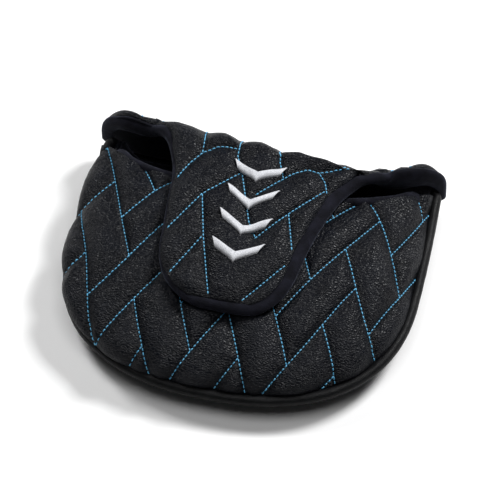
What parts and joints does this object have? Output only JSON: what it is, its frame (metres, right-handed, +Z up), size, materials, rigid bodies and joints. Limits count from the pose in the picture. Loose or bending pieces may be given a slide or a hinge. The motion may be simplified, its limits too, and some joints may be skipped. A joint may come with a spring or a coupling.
{
  "type": "putter head cover",
  "caption": "Quilted padded cover for a mallet putter head: D-shaped shell with a plush mouth, piped edge, and a two-part flap held by magnets.",
  "frame": {"origin": "on the floor under the middle of the whole cover's plan, with the flap closed", "axes": "+Z up from the sole, X along the straight mouth side, +Y out of the mouth, -Y to the round end of the D"},
  "size_m": [0.1272, 0.1076, 0.035],
  "materials": {
    "black_leather": "black pebbled synthetic leather, satin, quilted with blue thread",
    "plush": "very dark navy velvet plush",
    "foam": "grey open-cell foam padding",
    "piping": "smooth black synthetic leather, slightly glossier than the panels",
    "filler_cord": "undyed cotton filler cord",
    "magnet": "nickel-plated disc magnet",
    "embroidery_thread": "off-white satin-stitched rayon thread"
  },
  "bodies": {
    "cover": {"crown_leather": "black_leather", "crown_foam": "foam", "crown_lining": "plush", "sole_leather": "black_leather", "sole_foam": "foam", "sole_lining": "plush", "piping_cover": "piping", "piping_cord": "filler_cord", "mouth_binding": "plush", "crown_magnet_left": "magnet", "crown_magnet_right": "magnet"},
    "flap_base": {"base_leather": "black_leather", "base_foam": "foam", "base_lining": "plush", "ear_binding_left": "plush", "ear_binding_right": "plush"},
    "flap_tongue": {"tongue_leather": "black_leather", "tongue_foam": "foam", "tongue_lining": "plush", "tongue_binding": "plush", "tongue_magnet_left": "magnet", "tongue_magnet_right": "magnet", "chevron_1": "embroidery_thread", "chevron_2": "embroidery_thread", "chevron_3": "embroidery_thread", "chevron_4": "embroidery_thread"}
  },
  "joints": [
    {"name": "flap_base_hinge", "type": "hinge", "parent": "cover", "child": "flap_base", "pos_m": [0, 0.0502, 0.004], "axis": [-1, 0, 0], "range_deg": [0, 90]},
    {"name": "flap_tongue_hinge", "type": "hinge", "parent": "flap_base", "child": "flap_tongue", "pos_m": [0, 0.0397, 0.033], "axis": [-1, 0, 0], "range_deg": [0, 100]}
  ]
}
